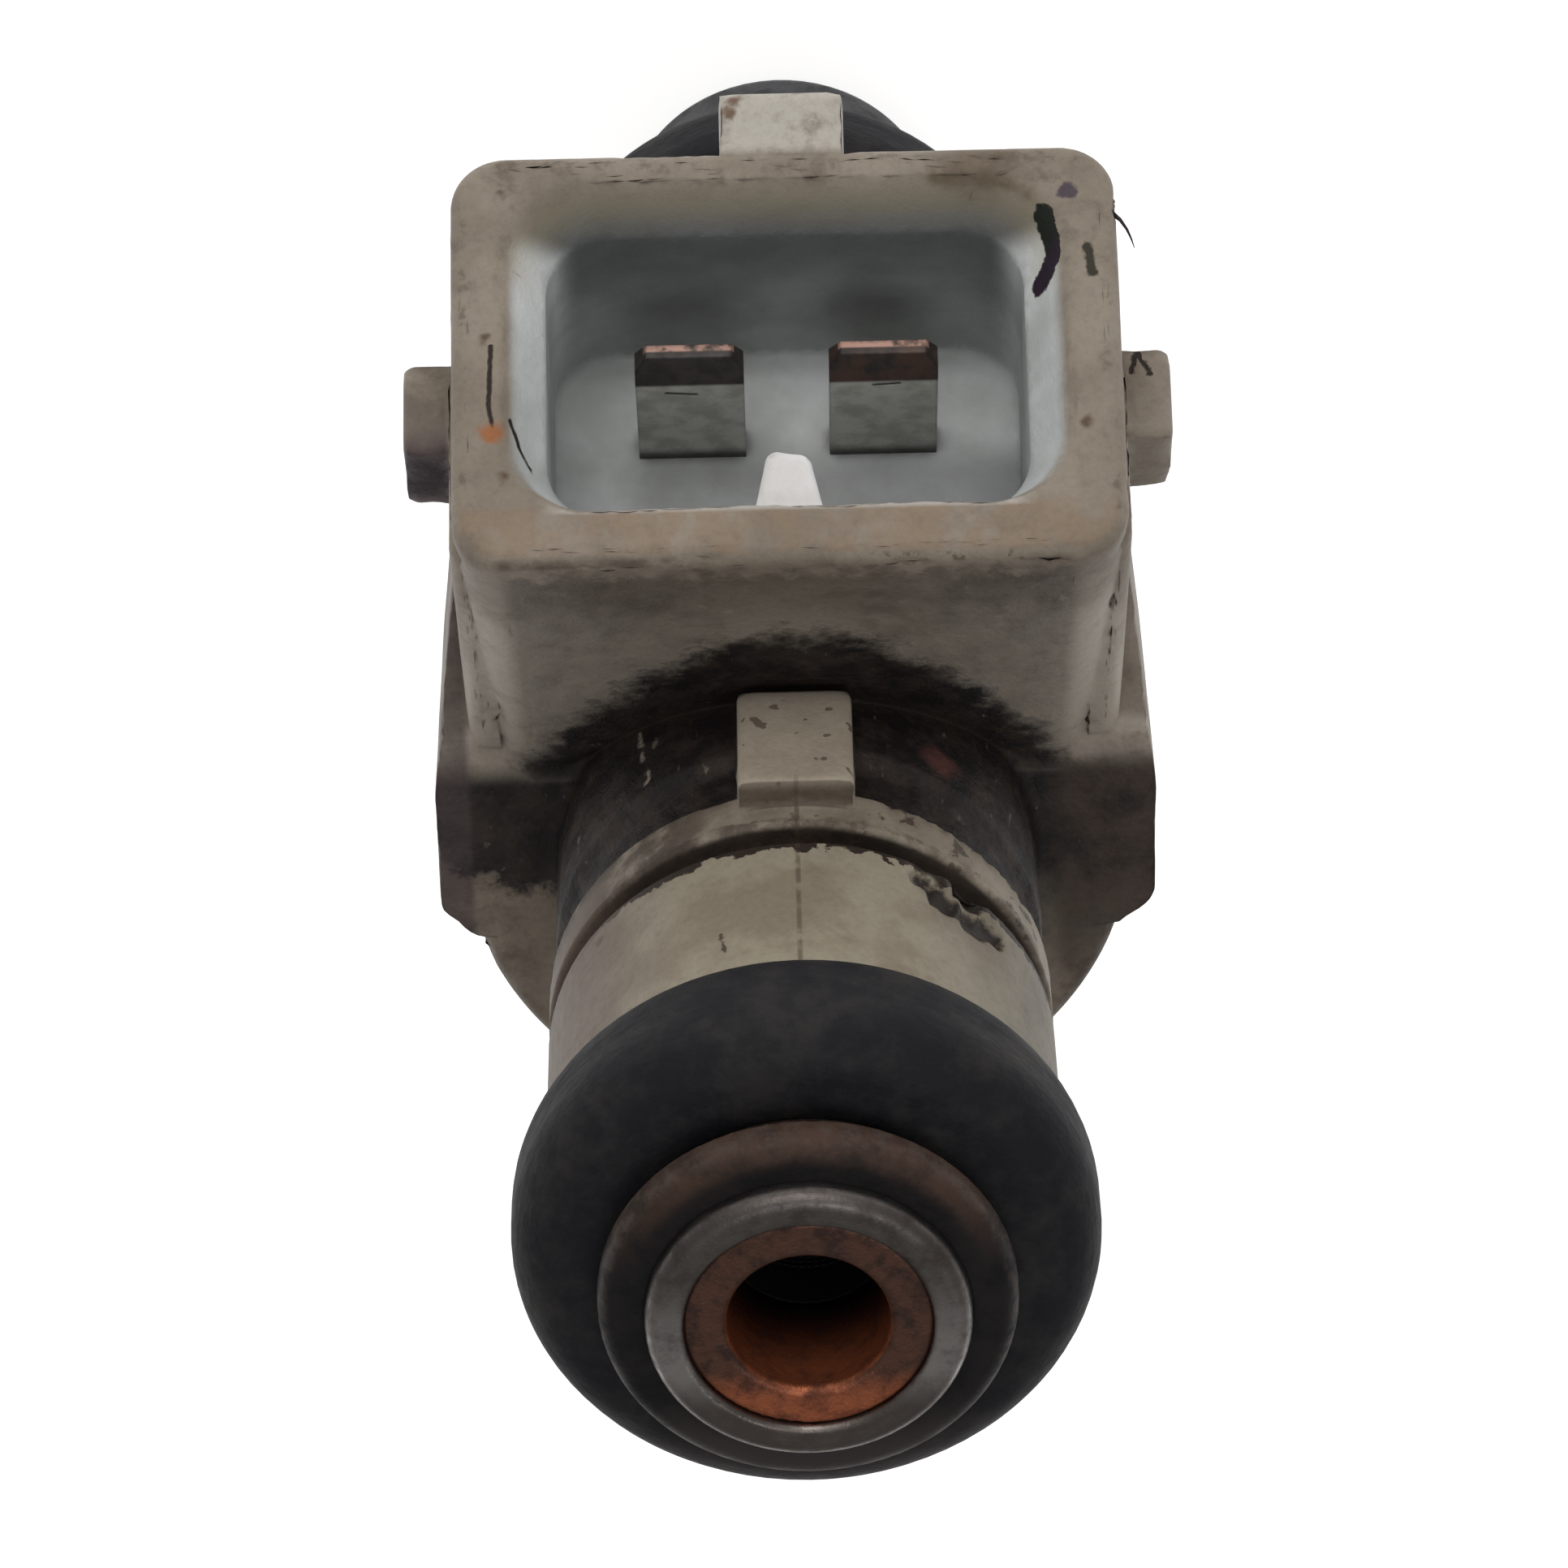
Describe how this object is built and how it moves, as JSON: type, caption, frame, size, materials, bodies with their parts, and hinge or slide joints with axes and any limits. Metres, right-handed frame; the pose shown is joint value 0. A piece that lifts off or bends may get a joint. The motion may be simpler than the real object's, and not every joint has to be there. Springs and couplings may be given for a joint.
{
  "type": "fuel injector",
  "caption": "Port fuel injector with moulded body, side-facing blade socket, O-ring seals at inlet and nozzle, and a sprung electromagnetic needle valve.",
  "frame": {"origin": "on the injector's axis, at the middle of the upper O-ring's seal land", "axes": "+Z along the injector's axis toward the fuel inlet; -Y toward the electrical socket; X across the blades"},
  "size_m": [0.0198, 0.0293, 0.0569],
  "materials": {
    "cream_moulding": "moulded, stained with oil and road dirt",
    "bright_steel": "turned",
    "tarnished_steel": "tarnished brown-grey",
    "seal_rubber": "matt, blue-black",
    "bronze": "stained by fuel",
    "filter_plastic": "moulded",
    "mesh_wire": "woven",
    "spring_steel": "drawn wire",
    "soft_iron": "turned",
    "ball_steel": "lapped",
    "bobbin_plastic": "moulded",
    "copper_wire": "enamelled winding wire",
    "tinned_blade": "tinned, dull",
    "black_plastic": "moulded"
  },
  "bodies": {
    "injector": {"overmold_body": "cream_moulding", "inlet_tube": "bright_steel", "upper_oring": "seal_rubber", "upper_oring_retainer": "tarnished_steel", "filter_collar": "bronze", "filter_frame": "filter_plastic", "filter_mesh": "mesh_wire", "adjusting_sleeve": "bright_steel", "return_spring": "spring_steel", "needle_guide": "bright_steel", "valve_seat": "bright_steel", "orifice_plate": "bright_steel", "valve_body": "bright_steel", "nonmagnetic_shell": "bright_steel", "coil_housing": "soft_iron", "flux_washer": "soft_iron", "coil_bobbin": "bobbin_plastic", "coil_winding": "copper_wire", "coil_lead_left": "copper_wire", "coil_lead_right": "copper_wire", "terminal_left": "tinned_blade", "terminal_right": "tinned_blade", "lower_backing_ring": "black_plastic", "lower_oring": "seal_rubber", "nozzle_cap": "black_plastic"},
    "needle_group": {"armature": "soft_iron", "valve_needle": "bright_steel", "valve_ball": "ball_steel"}
  },
  "joints": [
    {"name": "armature_lift", "type": "slide", "parent": "injector", "child": "needle_group", "axis": [0, 0, 1], "range_m": [0, 0.0001], "stiffness_N_per_m": 1500, "springref_m": -0.002, "deforming": ["return_spring"]}
  ]
}
